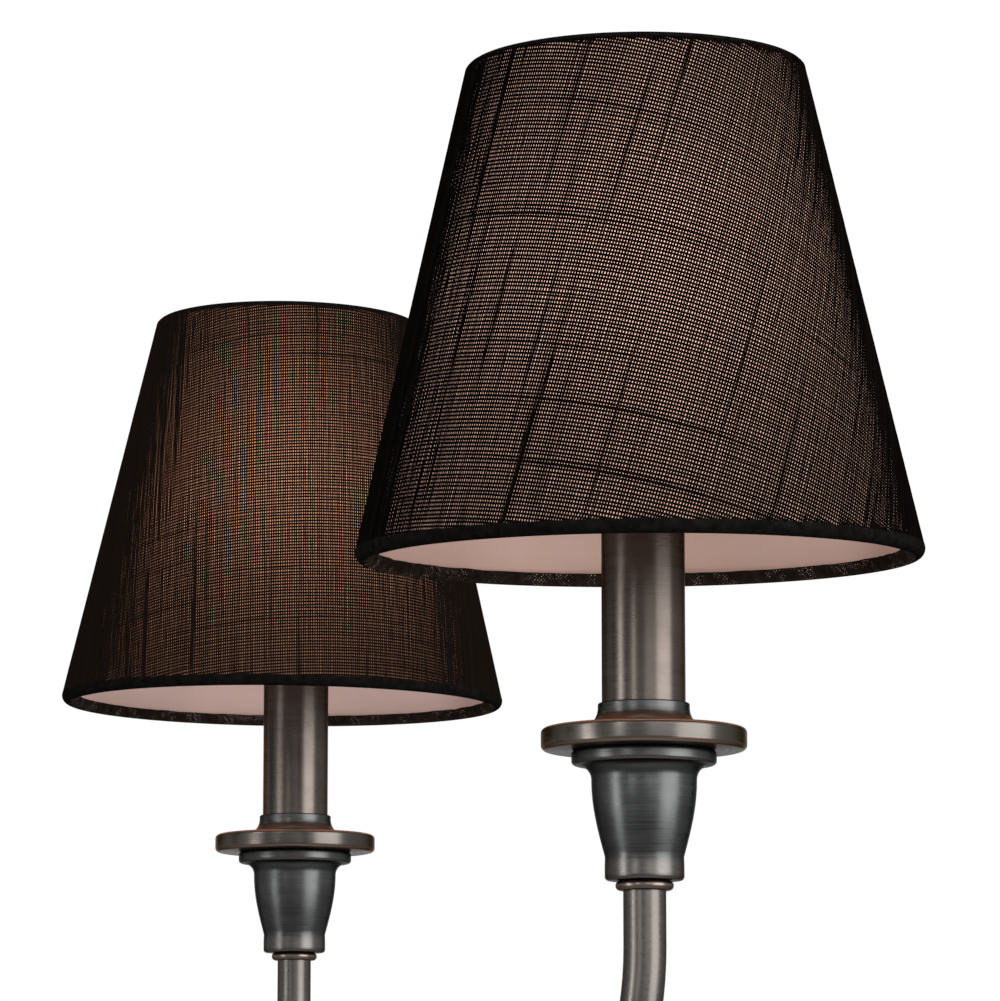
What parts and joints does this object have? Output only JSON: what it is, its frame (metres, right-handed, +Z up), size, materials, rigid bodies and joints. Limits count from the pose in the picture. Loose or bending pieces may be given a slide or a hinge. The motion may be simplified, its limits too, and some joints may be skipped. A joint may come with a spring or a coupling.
{
  "type": "chandelier",
  "caption": "Chandelier with curved tube arms, metal candle sleeves on drip pans and bell cups, and tapered dark open-weave clip-on shades, hung on a stem from a swivel and canopy.",
  "frame": {"origin": "centre of the mounting strap's top face, in the ceiling's plane", "axes": "+Z up through the ceiling, +X out along the first lamp's arm and along the strap, +Y to the left of it"},
  "size_m": [0.6053, 0.6312, 0.5342],
  "materials": {
    "brushed_bronze": "brushed round the tube, dark bronze plating under clear lacquer",
    "copper_bronze": "turned, dark bronze plating with a copper tint where it is rubbed",
    "gunmetal": "satin gunmetal plating, brushed round the axis",
    "satin_bronze": "satin dark bronze plating",
    "zinc_steel": "zinc-plated steel",
    "raw_brass": "plain machined brass",
    "phenolic": "moulded black phenolic",
    "frosted_glass": "frosted bulb glass with a plated screw cap",
    "shade_cloth": "near-black open plain weave bonded to a pale beige lining",
    "shade_wire": "brass-plated wire"
  },
  "bodies": {
    "ceiling": {"mounting_strap": "zinc_steel", "hanger_stud": "zinc_steel", "canopy": "gunmetal", "canopy_ring": "satin_bronze"},
    "swivel": {"swivel_fork": "satin_bronze", "swivel_pin": "satin_bronze"},
    "fixture": {"swivel_tongue": "satin_bronze", "stem": "satin_bronze", "column_cap": "gunmetal", "column_tube": "brushed_bronze", "column_pan": "copper_bronze", "hub_body": "gunmetal", "hub_bell": "gunmetal", "hub_finial": "satin_bronze", "neck_rings": "satin_bronze", "arm_nipples": "raw_brass", "cup_nuts": "raw_brass", "lamp_sockets": "phenolic", "arm_1": "satin_bronze", "arm_2": "satin_bronze", "arm_3": "satin_bronze", "arm_4": "satin_bronze", "arm_5": "satin_bronze", "cup_1": "gunmetal", "cup_2": "gunmetal", "cup_3": "gunmetal", "cup_4": "gunmetal", "cup_5": "gunmetal", "drip_pan_1": "copper_bronze", "drip_pan_2": "copper_bronze", "drip_pan_3": "copper_bronze", "drip_pan_4": "copper_bronze", "drip_pan_5": "copper_bronze", "candle_sleeve_1": "brushed_bronze", "candle_sleeve_2": "brushed_bronze", "candle_sleeve_3": "brushed_bronze", "candle_sleeve_4": "brushed_bronze", "candle_sleeve_5": "brushed_bronze"},
    "bulb_1": {"bulb_1": "frosted_glass"},
    "shade_1": {"shade_cover_1": "shade_cloth", "shade_spider_1": "shade_wire", "shade_ring_1": "shade_wire"},
    "bulb_2": {"bulb_2": "frosted_glass"},
    "shade_2": {"shade_cover_2": "shade_cloth", "shade_spider_2": "shade_wire", "shade_ring_2": "shade_wire"},
    "bulb_3": {"bulb_3": "frosted_glass"},
    "shade_3": {"shade_cover_3": "shade_cloth", "shade_spider_3": "shade_wire", "shade_ring_3": "shade_wire"},
    "bulb_4": {"bulb_4": "frosted_glass"},
    "shade_4": {"shade_cover_4": "shade_cloth", "shade_spider_4": "shade_wire", "shade_ring_4": "shade_wire"},
    "bulb_5": {"bulb_5": "frosted_glass"},
    "shade_5": {"shade_cover_5": "shade_cloth", "shade_spider_5": "shade_wire", "shade_ring_5": "shade_wire"}
  },
  "joints": [
    {"name": "stem_turn", "type": "hinge", "parent": "ceiling", "child": "swivel", "pos_m": [0, 0, -0.033], "axis": [0, 0, 1], "range_deg": [-170, 170]},
    {"name": "stem_tilt", "type": "hinge", "parent": "swivel", "child": "fixture", "pos_m": [0, 0, -0.0553], "axis": [0, 1, 0], "range_deg": [-25, 25]},
    {"name": "bulb_turn_1", "type": "hinge", "parent": "fixture", "child": "bulb_1", "pos_m": [0.265, 0, -0.326], "axis": [0, 0, 1], "range_deg": [0, 900]},
    {"name": "bulb_turn_2", "type": "hinge", "parent": "fixture", "child": "bulb_2", "pos_m": [0.08189, 0.25203, -0.326], "axis": [0, 0, 1], "range_deg": [0, 900]},
    {"name": "bulb_turn_3", "type": "hinge", "parent": "fixture", "child": "bulb_3", "pos_m": [-0.21439, 0.15576, -0.326], "axis": [0, 0, 1], "range_deg": [0, 900]},
    {"name": "bulb_turn_4", "type": "hinge", "parent": "fixture", "child": "bulb_4", "pos_m": [-0.21439, -0.15576, -0.326], "axis": [0, 0, 1], "range_deg": [0, 900]},
    {"name": "bulb_turn_5", "type": "hinge", "parent": "fixture", "child": "bulb_5", "pos_m": [0.08189, -0.25203, -0.326], "axis": [0, 0, 1], "range_deg": [0, 900]},
    {"name": "shade_lift_1", "type": "slide", "parent": "bulb_1", "child": "shade_1", "axis": [0, 0, 1], "range_m": [0, 0.125]},
    {"name": "shade_lift_2", "type": "slide", "parent": "bulb_2", "child": "shade_2", "axis": [0, 0, 1], "range_m": [0, 0.125]},
    {"name": "shade_lift_3", "type": "slide", "parent": "bulb_3", "child": "shade_3", "axis": [0, 0, 1], "range_m": [0, 0.125]},
    {"name": "shade_lift_4", "type": "slide", "parent": "bulb_4", "child": "shade_4", "axis": [0, 0, 1], "range_m": [0, 0.125]},
    {"name": "shade_lift_5", "type": "slide", "parent": "bulb_5", "child": "shade_5", "axis": [0, 0, 1], "range_m": [0, 0.125]}
  ]
}
